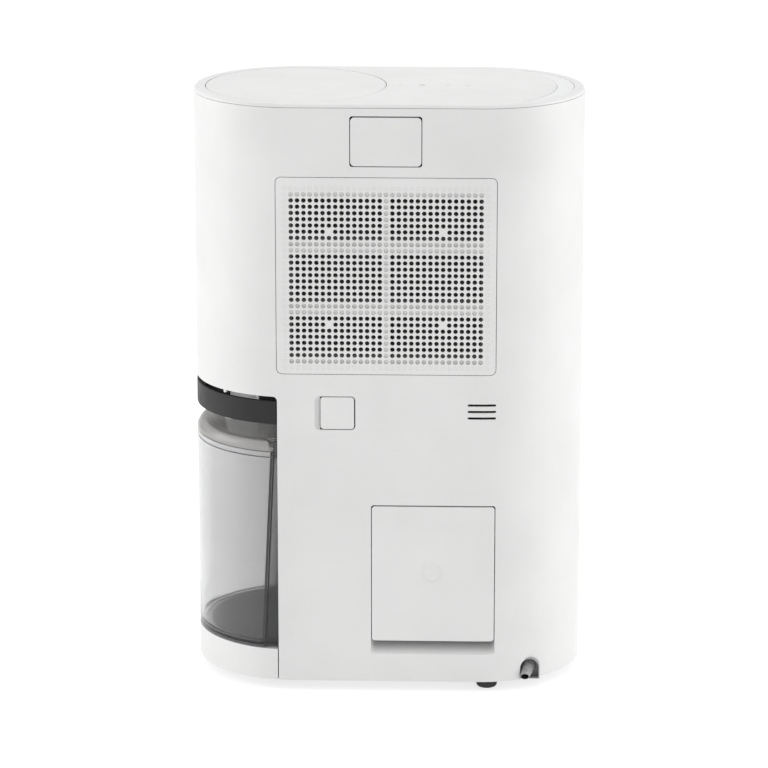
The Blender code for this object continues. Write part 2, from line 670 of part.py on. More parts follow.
def tank():
    slide = pivot("tank_slide_axis", (TANK_INNER_X, 0, TANK_BOTTOM))
    body = prism("tank_body", [tank_outline(0)], TANK_BOTTOM, TANK_TOP)
    cut(body, prism("tank_hollow", [tank_outline(TANK_WALL)], TANK_BOTTOM + 3, TANK_TOP + 10))
    place(body, SMOKE, slide)

    skirt = prism("tank_skirt", [end_arc(END_R, SKIRT_X)], BASE_Z, TANK_BOTTOM - CLEAR)
    cut(skirt, prism("skirt_hollow", [end_arc(END_R - WALL, SKIRT_X - 10)], 0, TANK_BOTTOM - 3))
    place(skirt, WHITE, slide)

    pour = rounded_rect(112, 150, -66, -42, 8, 2)
    inlet = circle(SPOUT, 9, 12)
    dome_hole = rounded_rect(DOME[0] + 3, DOME[1] - 3, DOME[2] + 3, DOME[3] - 3, 6, 2)
    lid = prism("tank_lid", [tank_outline(0)], TANK_TOP + CLEAR, LID_RIM)
    join(lid, prism("lid_crown", [tank_outline(LID_SHOULDER)], LID_RIM - 2, LID_TOP))
    cut(lid, prism("lid_underside", [tank_outline(LID_SHOULDER + TANK_WALL)], 200, LID_TOP - TANK_WALL),
        prism("lid_holes", [pour, inlet, dome_hole], 200, 280))
    for side in (-1, 1):
        y = sorted((side * 80, side * 85.8))
        lug = box(f"handle_lug_{side}", (88, 102), y, (LID_TOP - 1, 258))
        cut(lug, cylinder(f"lug_bore_{side}", HANDLE_AXIS, PIN_BORE, -95, 95, "y", 16))
        join(lid, lug)
        y = sorted((side * 8, side * 11.5))
        lug = box(f"float_lug_{side}", (FLOAT_AXIS[0] - 4, FLOAT_AXIS[0] + 4), y, (227, LID_TOP - 1))
        cut(lug, cylinder(f"float_bore_{side}", FLOAT_AXIS, FLOAT_BORE, -20, 20, "y", 12))
        join(lid, lug)
    place(lid, SMOKE, slide)

    dome = prism("lid_dome", [rounded_rect(*DOME, 9)], LID_TOP + CLEAR, DOME_TOP)
    cut(dome, prism("dome_hollow", [rounded_rect(*grown(DOME, -2), 7)], 200, DOME_TOP - 2))
    place(dome, LENS, slide)

    for name, side in (("rear", 1), ("front", -1)):
        y = sorted((side * 79, side * 92))
        place(cylinder(f"handle_pin_{name}", HANDLE_AXIS, 2.5, *y, "y", 16), STEEL, slide)
    place(cylinder("float_pin", FLOAT_AXIS, 1.6, -13, 13, "y", 12), STEEL, slide)

    swing = pivot("float_axis", (FLOAT_AXIS[0], 0, FLOAT_AXIS[1]))
    float_body = box("tank_float", (73, 101), (-16, 16), (207, 224))
    arm = box("float_arm", (59, 75), (-5, 5), (219, 234.5))
    join(float_body, arm)
    cut(float_body, cylinder("float_arm_bore", FLOAT_AXIS, FLOAT_BORE, -20, 20, "y", 12))
    place(float_body, FOAM, swing)
    magnet = box("float_magnet", (76, 86), (-6, 6), (224.3, 228))
    place(magnet, STEEL, swing)
    place(box("tank_full_switch", (38, LINER_X - CLEAR), (-8, 8), (214, 232)), BLACK)


def handle():
    """A bail along the tank's outline: it is the drawer pull, and swings up to carry the tank."""
    lift = pivot("handle_axis", (HANDLE_AXIS[0], 0, HANDLE_AXIS[1]))
    band_outline = end_arc(END_R, SKIRT_X) + end_arc(END_R - HANDLE_THICK, SKIRT_X)[::-1]
    bail = prism("tank_handle", [band_outline], HANDLE_LOW, HANDLE_HIGH)
    eye = arc(HANDLE_AXIS, 6.5, 170, 350, 10)
    arm_outline = eye + [(114, 265), (114, 285), (103.8, 285), (98, 268)]
    for side in (-1, 1):
        y = sorted((side * 86.2, side * 91.4))
        arm = prism(f"handle_arm_{side}", [arm_outline], *y, "y")
        cut(arm, cylinder(f"arm_bore_{side}", HANDLE_AXIS, PIN_BORE, -95, 95, "y", 16))
        join(bail, arm)
    place(bail, CHARCOAL, lift)


housing_halves()
top_cover()
status_lens()
base_pan()
feet()
bay_liner()
pockets()
gland()
outlet()
controls()
machine()
fan()
grille()
doors()
tank()
handle()
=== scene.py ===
"""The finished look of a compact dehumidifier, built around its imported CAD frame.

Lengths below are millimetres, and MM turns them into the metres of the frame. +X points to the tank end,
+Y to the back with its air grille, +Z up. Places and outer sizes are read from the CAD nodes.
"""

import math

import bmesh
import bpy
from mathutils import Matrix, Vector


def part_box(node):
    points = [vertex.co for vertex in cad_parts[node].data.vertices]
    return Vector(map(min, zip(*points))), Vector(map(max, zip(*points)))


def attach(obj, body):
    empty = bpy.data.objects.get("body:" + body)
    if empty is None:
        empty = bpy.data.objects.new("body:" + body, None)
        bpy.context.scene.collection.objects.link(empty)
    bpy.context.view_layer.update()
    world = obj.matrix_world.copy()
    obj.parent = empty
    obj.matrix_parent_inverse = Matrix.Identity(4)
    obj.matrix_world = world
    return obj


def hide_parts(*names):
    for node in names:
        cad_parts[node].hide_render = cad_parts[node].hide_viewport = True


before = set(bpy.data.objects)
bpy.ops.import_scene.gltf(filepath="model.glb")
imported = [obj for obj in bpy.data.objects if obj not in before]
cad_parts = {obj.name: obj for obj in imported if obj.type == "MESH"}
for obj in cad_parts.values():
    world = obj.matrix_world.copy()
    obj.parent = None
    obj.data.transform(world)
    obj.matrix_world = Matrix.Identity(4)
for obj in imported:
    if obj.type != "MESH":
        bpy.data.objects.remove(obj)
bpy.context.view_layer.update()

MM = 0.001


def span(node):
    """Lowest and highest corner of a CAD node, in millimetres."""
    low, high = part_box(node)
    return low / MM, high / MM


def back_panel(node):
    """Left, right, low and high edge of a panel of the back."""
    low, high = span(node)
    return (low.x, high.x, low.z, high.z)


# ---- places taken from the frame --------------------------------------------------------------------------

HOUSING = span("rear_housing")
END_R = HOUSING[1].y               # radius of the round ends, half of the depth
HALF = HOUSING[1].x - END_R        # the end circles are centred at +HALF and -HALF
BASE_Z = HOUSING[0].z
SEAM_Z = HOUSING[1].z              # joint between housing and top cover
TOP_Z = span("top_cover")[1].z
GRILLE = back_panel("rear_grille")
UPPER_DOOR = back_panel("upper_door")
DRAIN_COVER = back_panel("drain_cover")
CORD_DOOR = back_panel("cord_door")
TANK = span("tank_body")
SKIRT = span("tank_skirt")
HANDLE = span("tank_handle")
DOME = span("lid_dome")
OUTLET = span("outlet_lid")
GLAND = span("cord_gland")

WALL = 2.5                         # thickness of the shells, the back's panels and the tank
GAP = 0.3                          # between pieces that touch
PANEL_GAP = 0.7                    # round a door in its window
HINGE_GAP = 1.1                    # along a door's hinge, for its swing
GRILLE_GAP = 0.45                  # round the grille in its window
FINE = 48                          # facets in a quarter of an end circle
ROUND = 160                        # facets in the outlet lid and its seat
RING_STEP = 40                     # between the rings of a tall wall
SHARP = 50                         # degrees between faces that do not shade into each other
UPRIGHT = 0.05                     # largest upward part of the normal of a face on the wall
WALL_SLACK = 0.03                  # how far a corner may lie from the wall's true curve
BEYOND = 10                        # how far a cutter reaches past what it cuts

BAY_X = SKIRT[0].x - 0.8           # the tank bay's edge in the side panels
BAY_TOP = HANDLE[1].z + 4.5
BAY_CORNER = 4.0
TAB_X = 152.5                      # the small tab that hangs over the handle
TAB_INSET = 1.2                    # the tab's middle, inside the wall's outer face
BAY_SHADE_SHEETS = (("end", 89, -46, 46),  # black sheets of painted shade over the handle: outer radius, first and last angle
            ("rear", 86, 68, 80),
            ("front", 86, -80, -68))

SIDE_OF_TANK = 88.0                # half width of the tank behind the side panels
STEP_TOP_X = 106.5                 # where the tank steps in, at its rim
STEP_LOW_X = 116.0                 # and at its floor
SWING_AXIS = (95.0, 251.0)         # x, z of the handle's pins
PIN_BORE_R = 2.8
SPOUT = (60.0, 30.0)               # x, y of the drip water inlet
POUR_HOLE = (112, 150, -66, -42)   # left, right, near and far edge of the lid's pouring mouth
LID_LOW = 236.3                    # underside of the lid
FLOAT_LUG = (59.0, 67.0)           # x span of the lugs that carry the float's pin
BAND_LOW = 263.5                   # lower edge of the handle's band
BAND_THICK = 4

SLOT_ROWS = (271.4, 277.7, 284.0)  # heights of the sensor's slots
SLOT_SPAN = (-103.1, -76.5)
SLOT_HALF = 1.1
DRAIN_SCOOP = 5.3                  # width of the finger recess beside the drain cover
CORD_SCOOP = 13.1                  # height of the finger recess under the cord door
SCOOP_ENDS = (0, 0.35, 1.2, 2.8, 5)          # places in from a recess's end, and
SCOOP_FULLNESS = (0, 0.3, 0.62, 0.88, 1)     # the share of its depth reached there
ARCH_R = 9.0                       # radius of the notch round the cord gland
ARCH_Z = 21.5                      # height of the notch's centre
SIGN = (-43.4, 118.9)              # x, z of the symbol on the cord door

TOP_EDGE_R = 3                     # rounding of the top cover's rim
LENS_OUTER_R = 86.0                # the crescent's outer circle, round the -X end
LENS_INNER_R = 107.0               # and its inner one, round LENS_INNER_X
LENS_INNER_X = -51.0
TOUCH_MARKS = ((-74, 1.6), (-55, 1.6), (-31, 3.2), (-10, 1.6))   # x and radius

# The grille's perforated field; rows are counted from the top, columns from the tank side
PITCH_X = 5.887
PITCH_Z = 5.918
OPEN_COLUMNS = 31
OPEN_ROWS = 28
FIELD_DROP = 1.8                   # how far the field's middle is below the panel's
HOLE_R = 2.2
HOLE_CHAMFER = 0.15
HOLE_TAPER = 0.08
HOLE_SIDES = 16                    # the cells' outer edges count on 16
SHALLOW_ROWS = (1, 10, 20)         # ribs of the filter close these rows
HALF_DEEP_ROWS = (9, 19, 28)       # and stand behind these
POST_ROWS = (7, 22)                # no holes where a post holds the grille
POST_COLUMNS = (7, 25)
HOLE_DEPTHS = {"faint": 0.3, "shallow": 1.7, "half": 2.35}


# ---- outlines ---------------------------------------------------------------------------------------------

def arc(centre, radius, start, end, steps):
    """Points on a circle between two angles in degrees, both ends included."""
    angles = [math.radians(start + (end - start) * i / steps) for i in range(steps + 1)]
    return [(centre[0] + radius * math.cos(a), centre[1] + radius * math.sin(a)) for a in angles]


def circle(centre, radius, steps=64):
    return arc(centre, radius, 0, 360, steps)[:-1]


def rounded_rect(left, right, low, high, radius, steps=6):
    corners = ((right - radius, high - radius, 0), (left + radius, high - radius, 90),
               (left + radius, low + radius, 180), (right - radius, low + radius, 270))
    points = []
    for x, y, start in corners:
        points += arc((x, y), radius, start, start + 90, steps)
    return points


def grown(panel, by):
    left, right, low, high = panel
    return (left - by, right + by, low - by, high + by)


def stadium(radius):
    right = arc((HALF, 0), radius, -90, 90, 2 * FINE)
    return right + arc((-HALF, 0), radius, 90, 270, 2 * FINE)


def half_stadium(radius, side):
    """The rear (side 1) or front (side -1) half of the outline, from the +X end to the -X end."""
    path = arc((HALF, 0), radius, 0, 90, FINE) + arc((-HALF, 0), radius, 90, 180, FINE)
    return [(x, side * max(y, GAP / 2)) for x, y in path]


def wall_y(x, radius=END_R):
    """How far back the wall's outer face is at x, or a face inside it that has the given end radius."""
    past = max(abs(x) - HALF, 0.0)
    return math.sqrt(max(radius ** 2 - past ** 2, 0.0))


def end_arc(radius, from_x, steps=2 * FINE):
    """The tank end's arc from its back corner at from_x round to the front one."""
    angle = math.degrees(math.acos((from_x - HALF) / radius))
    return arc((HALF, 0), radius, angle, -angle, steps)


def tank_outline(inset, step_x):
    """The tank's plan: the end arc, then a step in to the narrower part behind the side panels."""
    step = step_x + inset
    side = SIDE_OF_TANK - inset
    inner = TANK[0].x + inset
    corner = 12.0 - inset / 2
    back = arc((inner + corner, side - corner), corner, 180, 90, 6)
    front = arc((inner + corner, corner - side), corner, 270, 180, 6)
    return end_arc(END_R - inset, step) + [(step, -side)] + front + back + [(step, side)]


def step_x_at(z):
    """The step's x at a height: the tank tapers, so its step leans."""
    share = (z - TANK[0].z) / (TANK[1].z - TANK[0].z)
    return STEP_LOW_X + (STEP_TOP_X - STEP_LOW_X) * share


# ---- meshes -----------------------------------------------------------------------------------------------

def as_object(name, work):
    mesh = bpy.data.meshes.new(name)
    bmesh.ops.recalc_face_normals(work, faces=work.faces)
    work.to_mesh(mesh)
    work.free()
    mesh.shade_smooth()
    piece = bpy.data.objects.new(name, mesh)
    bpy.context.scene.collection.objects.link(piece)
    return piece


def loft(name, rings):
    """A solid through rings of equal length, capped at the first and the last."""
    work = bmesh.new()
    rows = [[work.verts.new(Vector(point) * MM) for point in ring] for ring in rings]
    for low, high in zip(rows, rows[1:]):
        for i in range(len(low)):
            j = (i + 1) % len(low)
            work.faces.new((low[i], low[j], high[j], high[i]))
    work.faces.new(rows[0][::-1])
    work.faces.new(rows[-1])
    return as_object(name, work)


def at(outline, z):
    return [(x, y, z) for x, y in outline]


AXES = {
    "z": lambda u, v, w: (u, v, w),
    "y": lambda u, v, w: (u, w, v),
    "x": lambda u, v, w: (w, u, v),
}


def prism(name, outline, low, high, axis="z"):
    """An outline drawn out along an axis; it is (x, y) for z, (x, z) for y and (y, z) for x."""
    order = AXES[axis]
    return loft(name, [[order(u, v, w) for u, v in outline] for w in (low, high)])


def block(name, x, y, z):
    return prism(name, [(x[0], y[0]), (x[1], y[0]), (x[1], y[1]), (x[0], y[1])], *z)


def turned(name, profile, centre, axis="z", steps=64):
    """A round piece from its (radius, height) profile; centre is its place on the other two axes."""
    order = AXES[axis]
    rings = [[order(u, v, height) for u, v in circle(centre, radius, steps)] for radius, height in profile]
    return loft(name, rings)


def combine(piece, operation, *tools):
    for tool in tools:
        modifier = piece.modifiers.new(tool.name, "BOOLEAN")
        modifier.operation = operation
        modifier.object = tool
    return piece


def cut(piece, *tools):
    return combine(piece, "DIFFERENCE", *tools)


def join(piece, *tools):
    return combine(piece, "UNION", *tools)


def rounded(piece, width, segments=3, angle=40):
    """Rounds every edge sharper than the angle."""
    bevel = piece.modifiers.new("round", "BEVEL")
    bevel.width = width * MM
    bevel.segments = segments
    bevel.limit_method = "ANGLE"
    bevel.angle_limit = math.radians(angle)
    bevel.use_clamp_overlap = False
    return piece


def settle(piece):
    """Applies the piece's modifiers, with flat faces kept flat, and removes the tools that they used."""
    tools = [modifier.object for modifier in piece.modifiers if modifier.type == "BOOLEAN"]
    bake(piece)
    piece.data.set_sharp_from_angle(angle=math.radians(SHARP))
    weighted = piece.modifiers.new("normals", "WEIGHTED_NORMAL")
    weighted.weight = 100
    weighted.keep_sharp = True
    bake(piece)
    for tool in tools:
        bpy.data.objects.remove(tool)
    return piece


def bake(piece):
    """Replaces a piece's mesh by what its modifiers make of it."""
    bpy.context.view_layer.update()
    graph = bpy.context.evaluated_depsgraph_get()
    piece.data = bpy.data.meshes.new_from_object(piece.evaluated_get(graph), preserve_all_data_layers=True,
                                                 depsgraph=graph)
    piece.modifiers.clear()


def outward(point):
    """The direction and the distance of a point from the middle line of the stadium outline."""
    past = max(abs(point.x) - HALF * MM, 0.0)
    across = Vector((math.copysign(past, point.x), point.y, 0))
    return across.normalized(), across.length


def true_to_wall(piece):
    """Gives the faces on the stadium wall their exact normals, so that they shade without a seam."""
    mesh = piece.data
    reach = END_R * MM
    normals = [Vector(corner.vector) for corner in mesh.corner_normals]
    for face in mesh.polygons:
        places = [outward(mesh.vertices[index].co) for index in face.vertices]
        upright = abs(face.normal.z) < UPRIGHT
        if upright and all(abs(distance - reach) < WALL_SLACK * MM for _, distance in places):
            for loop, (direction, _) in zip(face.loop_indices, places):
                normals[loop] = direction
    mesh.normals_split_custom_set(normals)
    return piece


def fit(piece, body, material, slot, *nodes):
    """Gives a piece its material, its body and the CAD nodes that it stands for."""
    settle(piece)
    piece.data.materials.clear()
    piece.data.materials.append(material)
    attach(piece, body)
    if nodes:
        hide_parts(*nodes)
    return piece


def merged(name, pieces):
    """Several finished pieces as one object."""
    work = bmesh.new()
    for piece in pieces:
        settle(piece)
        work.from_mesh(piece.data)
        bpy.data.objects.remove(piece)
    return as_object(name, work)


# ---- materials --------------------------------------------------------------------------------------------

class Nodes:
    """A small helper that adds shader nodes to one material and links them."""

    def __init__(self, name):
        self.material = bpy.data.materials.new(name)
        self.material.use_nodes = True
        self.tree = self.material.node_tree
        self.shader = self.tree.nodes["Principled BSDF"]
        self.place = self.add("ShaderNodeTexCoord").outputs["Object"]

    def add(self, kind, **settings):
        node = self.tree.nodes.new(kind)
        for key, value in settings.items():
            setattr(node, key, value)
        return node

    def link(self, source, target):
        self.tree.links.new(source, target)

    def noise(self, scale, detail=3.0, stretch=(1, 1, 1)):
        mapping = self.add("ShaderNodeMapping")
        mapping.inputs["Scale"].default_value = stretch
        self.link(self.place, mapping.inputs["Vector"])
        noise = self.add("ShaderNodeTexNoise")
        noise.inputs["Scale"].default_value = scale
        noise.inputs["Detail"].default_value = detail
        self.link(mapping.outputs["Vector"], noise.inputs["Vector"])
        return noise.outputs["Fac"]

    def spread(self, source, low, high, start=0.3, end=0.7):
        """A value mapped onto a range."""
        node = self.add("ShaderNodeMapRange")
        for key, value in (("From Min", start), ("From Max", end), ("To Min", low), ("To Max", high)):
            node.inputs[key].default_value = value
        self.link(source, node.inputs["Value"])
        return node.outputs["Result"]

    def mix(self, factor, first, second):
        """A colour between two, each a colour or a socket."""
        node = self.add("ShaderNodeMix", data_type="RGBA")
        self.link(factor, node.inputs["Factor"])
        for socket, value in ((node.inputs[6], first), (node.inputs[7], second)):
            if isinstance(value, tuple):
                socket.default_value = (*value, 1)
            else:
                self.link(value, socket)
        return node.outputs[2]

    def bump(self, source, strength, distance):
        node = self.add("ShaderNodeBump")
        node.inputs["Strength"].default_value = strength
        node.inputs["Distance"].default_value = distance * MM
        self.link(source, node.inputs["Height"])
        self.link(node.outputs["Normal"], self.shader.inputs["Normal"])

    def set(self, **values):
        for key, value in values.items():
            self.shader.inputs[key.replace("_", " ")].default_value = value

    def worn_edges(self, amount):
        """Where the surface is convex and would be rubbed."""
        pointiness = self.add("ShaderNodeNewGeometry").outputs["Pointiness"]
        return self.spread(pointiness, 0.0, amount, 0.52, 0.62)


def shade(colour, by):
    return tuple(min(channel * by, 1.0) for channel in colour)


def moulded(name, colour, roughness, grain=0.35, texture=0.06, drift=0.03, wear=0.25, specular=0.4):
    """Moulded plastic: fine spark-eroded grain, slow colour drift, uneven gloss and lighter rubbed edges."""
    nodes = Nodes(name)
    base = nodes.mix(nodes.spread(nodes.noise(14), 0, 1), shade(colour, 1 - drift), shade(colour, 1 + drift))
    rubbed = nodes.mix(nodes.worn_edges(wear), base, shade(colour, 1.12))
    nodes.link(rubbed, nodes.shader.inputs["Base Color"])
    gloss = nodes.spread(nodes.noise(60), roughness - 0.05, roughness + 0.05)
    nodes.link(gloss, nodes.shader.inputs["Roughness"])
    nodes.bump(nodes.noise(1 / (grain * MM), 2.0), texture, 0.2)
    nodes.set(Specular_IOR_Level=specular)
    return nodes.material


def smoked(name, colour, roughness=0.04, clear=1.0, housing_shade=1.0, painted_glow=0.0):
    """Clear tinted plastic: it shows what is behind it, with faint flow marks and fine scratches.

    The base colour is darker towards the housing, by its shade factor: painted shade where the housing shades
    the tank. Its emission is painted light, standing in for the light that it pipes in.
    """
    nodes = Nodes(name)
    along = nodes.add("ShaderNodeSeparateXYZ")
    nodes.link(nodes.place, along.inputs["Vector"])
    # Painted shade: near the housing the colour is scaled down by the shade factor, and it fades to the plain
    # colour towards the end.
    towards_end = nodes.spread(along.outputs["X"], 0, 1, 105 * MM, 180 * MM)
    flow = nodes.mix(nodes.spread(nodes.noise(9), 0, 1), shade(colour, 0.96), shade(colour, 1.04))
    tint_and_shade = nodes.mix(towards_end, shade(colour, housing_shade), flow)
    nodes.link(tint_and_shade, nodes.shader.inputs["Base Color"])
    scratches = nodes.noise(420, 2.0, (1, 1, 0.05))
    nodes.link(nodes.spread(scratches, roughness, roughness + 0.03), nodes.shader.inputs["Roughness"])
    nodes.bump(nodes.noise(22, 1.0), 0.06, 0.2)
    nodes.set(IOR=1.49, Specular_IOR_Level=0.5, Transmission_Weight=clear)
    # Emission here is painted light; the plastic is no lamp.
    nodes.set(Emission_Color=(*colour, 1), Emission_Strength=painted_glow)
    return nodes.material


def rubber(name, colour):
    nodes = Nodes(name)
    dusty = nodes.mix(nodes.spread(nodes.noise(90, 6.0), 0, 1), colour, shade(colour, 1.7))
    nodes.link(dusty, nodes.shader.inputs["Base Color"])
    nodes.link(nodes.spread(nodes.noise(40), 0.72, 0.9), nodes.shader.inputs["Roughness"])
    nodes.bump(nodes.noise(1800, 3.0), 0.25, 0.3)
    nodes.set(Specular_IOR_Level=0.3)
    return nodes.material


def metal(name, colour, roughness, stretch=(1, 1, 1), stain=0.25):
    """Drawn or rolled metal with its lay lines and a little tarnish."""
    nodes = Nodes(name)
    tarnish = nodes.mix(nodes.spread(nodes.noise(45, 5.0), 0, stain), colour, shade(colour, 0.35))
    nodes.link(tarnish, nodes.shader.inputs["Base Color"])
    lay = nodes.noise(600, 2.0, stretch)
    nodes.link(nodes.spread(lay, roughness - 0.07, roughness + 0.12), nodes.shader.inputs["Roughness"])
    nodes.bump(lay, 0.15, 0.1)
    nodes.set(Metallic=1.0)
    return nodes.material


def finned(name, colour):
    """A stack of thin aluminium fins, 1.6 mm apart."""
    nodes = Nodes(name)
    wave = nodes.add("ShaderNodeTexWave", bands_direction="X", wave_profile="SAW")
    wave.inputs["Scale"].default_value = 0.314 / (1.6 * MM)
    wave.inputs["Distortion"].default_value = 0.3
    nodes.link(nodes.place, wave.inputs["Vector"])
    nodes.link(nodes.mix(wave.outputs["Fac"], shade(colour, 0.25), colour), nodes.shader.inputs["Base Color"])
    nodes.link(nodes.spread(nodes.noise(80), 0.3, 0.5), nodes.shader.inputs["Roughness"])
    nodes.bump(wave.outputs["Fac"], 0.6, 0.6)
    nodes.set(Metallic=0.9)
    return nodes.material


def woven(name, colour):
    """A fine filter net."""
    nodes = Nodes(name)
    grid = nodes.add("ShaderNodeTexBrick", offset=0.0)
    grid.inputs["Scale"].default_value = 1.0
    grid.inputs["Brick Width"].default_value = 1.4 * MM
    grid.inputs["Row Height"].default_value = 1.4 * MM
    grid.inputs["Mortar Size"].default_value = 0.25 * MM
    turn = nodes.add("ShaderNodeMapping")
    turn.inputs["Rotation"].default_value = (math.pi / 2, 0, 0)
    nodes.link(nodes.place, turn.inputs["Vector"])
    nodes.link(turn.outputs["Vector"], grid.inputs["Vector"])
    threads = nodes.mix(grid.outputs["Fac"], shade(colour, 0.45), shade(colour, 2.0))
    nodes.link(threads, nodes.shader.inputs["Base Color"])
    nodes.link(nodes.spread(nodes.noise(120), 0.7, 0.9), nodes.shader.inputs["Roughness"])
    nodes.bump(grid.outputs["Fac"], 0.5, 0.3)
    return nodes.material


def circuit(name, colour):
    """Solder resist with tracks under it."""
    nodes = Nodes(name)
    cells = nodes.add("ShaderNodeTexVoronoi", distance="CHEBYCHEV")
    cells.inputs["Scale"].default_value = 240
    nodes.link(nodes.place, cells.inputs["Vector"])
    tracks = nodes.spread(cells.outputs["Distance"], 0, 1, 0.35, 0.45)
    nodes.link(nodes.mix(tracks, colour, shade(colour, 2.2)), nodes.shader.inputs["Base Color"])
    nodes.link(nodes.spread(nodes.noise(90), 0.3, 0.5), nodes.shader.inputs["Roughness"])
    nodes.bump(tracks, 0.3, 0.15)
    return nodes.material


WHITE = moulded("housing_plastic", (0.635, 0.632, 0.629), 0.5)
CHARCOAL = moulded("handle_plastic", (0.02, 0.02, 0.02), 0.5, texture=0.1, wear=0.5, specular=0.22)
GREY = moulded("inner_grey_plastic", (0.22, 0.22, 0.22), 0.55)
BLACK = moulded("inner_black_plastic", (0.022, 0.022, 0.022), 0.5)
BOOT = moulded("boot_plastic", (0.30, 0.30, 0.30), 0.6, texture=0.2)
LENS = moulded("lens_plastic", (0.64, 0.645, 0.65), 0.25, texture=0.02)
MARK = moulded("touch_mark_plastic", (0.45, 0.45, 0.45), 0.45)
# The tank's colour darkens towards the housing: painted shade.
SMOKE = smoked("tank_plastic", (0.76, 0.76, 0.765), housing_shade=0.68)
# Darker smoke for the tank walls behind the step: painted shade of the shaded bay behind them.
SHADED_SMOKE = smoked("tank_side_painted_shade", (0.24, 0.24, 0.245), 0.1)
# Colour of an opaque plate on the tank's floor: partly its look through the tinted walls, partly painted
# shade inside the tank.
FLOOR_SHADE = moulded("tank_floor_painted_shade", (0.14, 0.14, 0.145), 0.35, texture=0.03)
LID_SMOKE = smoked("tank_lid_plastic", (0.47, 0.46, 0.445), 0.22, 0.75)
# The dome glows faintly: painted light that lightens it.
DOME_SMOKE = smoked("lid_dome_plastic", (0.75, 0.75, 0.76), 0.05, 0.5, painted_glow=0.12)
EDGE = moulded("tank_edge_plastic", (0.07, 0.07, 0.075), 0.3, texture=0.03)
RUBBER = rubber("foot_rubber", (0.022, 0.022, 0.023))
FIN = finned("fin_aluminium", (0.75, 0.76, 0.78))
ALUMINIUM = metal("can_aluminium", (0.75, 0.76, 0.78), 0.35, (1, 1, 0.04))
COPPER = metal("pipe_copper", (0.72, 0.36, 0.2), 0.3)
STEEL = metal("pin_steel", (0.6, 0.6, 0.6), 0.28, (1, 0.05, 1))
ENAMEL = moulded("compressor_paint", (0.02, 0.02, 0.023), 0.35, grain=1.5, texture=0.12)
BOARD = circuit("circuit_board", (0.02, 0.13, 0.06))
NET = woven("filter_net", (0.05, 0.05, 0.052))
FOAM = moulded("float_foam", (0.7, 0.7, 0.69), 0.75, grain=1.2, texture=0.3)


# ---- housing ----------------------------------------------------------------------------------------------

def wall_band(name, side, inner, low, high):
    """A half shell between two heights, from the wall's outer face to the inner end radius."""
    outline = half_stadium(END_R, side) + half_stadium(inner, side)[::-1]
    steps = max(round((high - low) / RING_STEP), 1)
    return loft(name, [at(outline, low + (high - low) * i / steps) for i in range(steps + 1)])


def window(name, panel, corner):
    """A cutter for an opening of the back, deep enough for the curve of the wall."""
    return prism(name, rounded_rect(*panel, corner), END_R - 30, END_R + BEYOND, "y")


def bay_cutter(name):
    return prism(name, rounded_rect(BAY_X, HALF + END_R + 30, -20, BAY_TOP, BAY_CORNER), -110, 110, "y")


def housing_shells():
    """The rear and the front shell, and the small tab that hangs over the handle."""
    rear = wall_band("rear_shell", 1, END_R - WALL, BASE_Z, SEAM_Z)
    upper = (UPPER_DOOR[0] - PANEL_GAP, UPPER_DOOR[1] + PANEL_GAP, UPPER_DOOR[2] - PANEL_GAP,
             UPPER_DOOR[3] + HINGE_GAP)
    drain = (DRAIN_COVER[0] - HINGE_GAP, DRAIN_COVER[1] + DRAIN_SCOOP, DRAIN_COVER[2] - PANEL_GAP,
             DRAIN_COVER[3] + PANEL_GAP)
    cord = (CORD_DOOR[0] - PANEL_GAP, CORD_DOOR[1] + PANEL_GAP, CORD_DOOR[2] - CORD_SCOOP,
            CORD_DOOR[3] + HINGE_GAP)
    cut(rear, bay_cutter("rear_bay"), window("grille_window", grown(GRILLE, GRILLE_GAP), 5.4),
        window("upper_window", upper, 2.5), window("drain_window", drain, 4),
        window("cord_window", cord, 2.5))
    for z in SLOT_ROWS:
        slot = (*SLOT_SPAN, z - SLOT_HALF, z + SLOT_HALF)
        cut(rear, window(f"sensor_slot_{z:.0f}", slot, SLOT_HALF - 0.02))
    middle = (GLAND[0].x + GLAND[1].x) / 2
    arch = arc((middle, ARCH_Z), ARCH_R, 0, 180, 24) + [(middle - ARCH_R, 0), (middle + ARCH_R, 0)]
    cut(rear, prism("cord_notch", arch, 60, END_R + BEYOND, "y"))
    true_to_wall(fit(rounded(rear, 0.3, 2), "housing", WHITE, "housing_white", "rear_housing"))

    front = cut(wall_band("front_shell", -1, END_R - WALL, BASE_Z, SEAM_Z), bay_cutter("front_bay"))
    true_to_wall(fit(rounded(front, 0.3, 2), "housing", WHITE, "housing_white", "front_housing"))

    angle = math.acos((TAB_X - HALF) / (END_R - TAB_INSET))
    tab = prism("bay_tab", rounded_rect(-1.4, 1.4, BAY_TOP - 2.4, BAY_TOP + 4, 0.8), -1.1, 1.1, "y")
    settle(tab)
    tab.data.transform(Matrix.Rotation(angle - math.pi / 2, 4, "Z"))
    tab.data.transform(Matrix.Translation(Vector((TAB_X, wall_y(TAB_X, END_R - TAB_INSET), 0)) * MM))
    fit(tab, "housing", WHITE, "housing_white")


def scoop(name, panel, depth, power, climbs):
    """A finger recess that starts flush with the wall and curves in behind a door's free edge.

    panel is its left, right, low and high edge; the power sets how softly it starts; climbs is "z" when it
    deepens upwards, "x" when it deepens towards -X.
    """
    left, right, low, high = panel
    first, last = (low, high) if climbs == "x" else (left, right)
    ends = list(zip(SCOOP_ENDS, SCOOP_FULLNESS))
    stations = [(first + inward, fullness) for inward, fullness in ends]
    stations += [(last - inward, fullness) for inward, fullness in ends[::-1]]
    under = depth + 1.5
    behind_wall = WALL + 0.1
    rings = []
    for station, fullness in stations:
        curve = [(i / 12, depth * (i / 12) ** power * fullness) for i in range(13)]
        curve += [(1.0, under), (-0.25, under), (-0.25, behind_wall), (0.0, behind_wall)]
        ring = []
        for along, sunk in curve:
            if climbs == "x":
                x, z = right + (left - right) * along, station
            else:
                x, z = station, low + (high - low) * along
            ring.append((x, wall_y(x) - sunk, z))
        rings.append(ring)
    return loft(name, rings)


